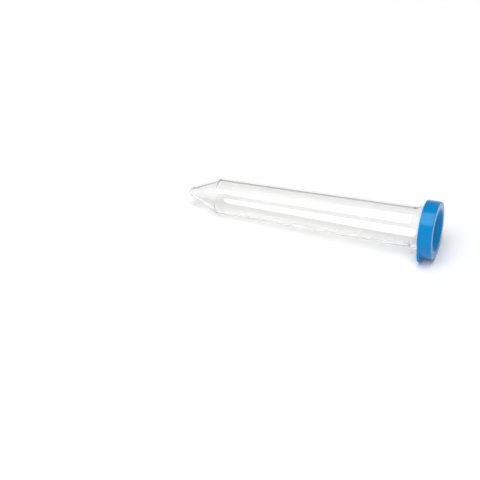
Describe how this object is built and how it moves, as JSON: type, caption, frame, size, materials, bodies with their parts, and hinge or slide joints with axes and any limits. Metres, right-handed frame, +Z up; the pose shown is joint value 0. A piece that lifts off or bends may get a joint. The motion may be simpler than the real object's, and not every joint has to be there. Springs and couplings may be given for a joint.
{
  "type": "capped test tube",
  "caption": "Clear conical-bottom test tube with a flared mouth, closed by a push-on snap cap with a thumb tab and a hollow sealing plug.",
  "frame": {"origin": "on the surface the part lies on, under the middle of its bounding box", "axes": "+X along the tube from its conical tip to its cap, +Z up from the surface; the thumb tab is on the -Y side"},
  "size_m": [0.1016, 0.0224, 0.0226],
  "materials": {
    "clear_polystyrene": "polished and clear",
    "blue_polyethylene": "satin, opaque"
  },
  "bodies": {
    "tube": {"tube_body": "clear_polystyrene"},
    "cap": {"snap_cap": "blue_polyethylene"}
  },
  "joints": [
    {"name": "cap_pull", "type": "slide", "parent": "tube", "child": "cap", "axis": [0.9987, 0, 0.0505], "range_m": [0, 0.012]}
  ]
}
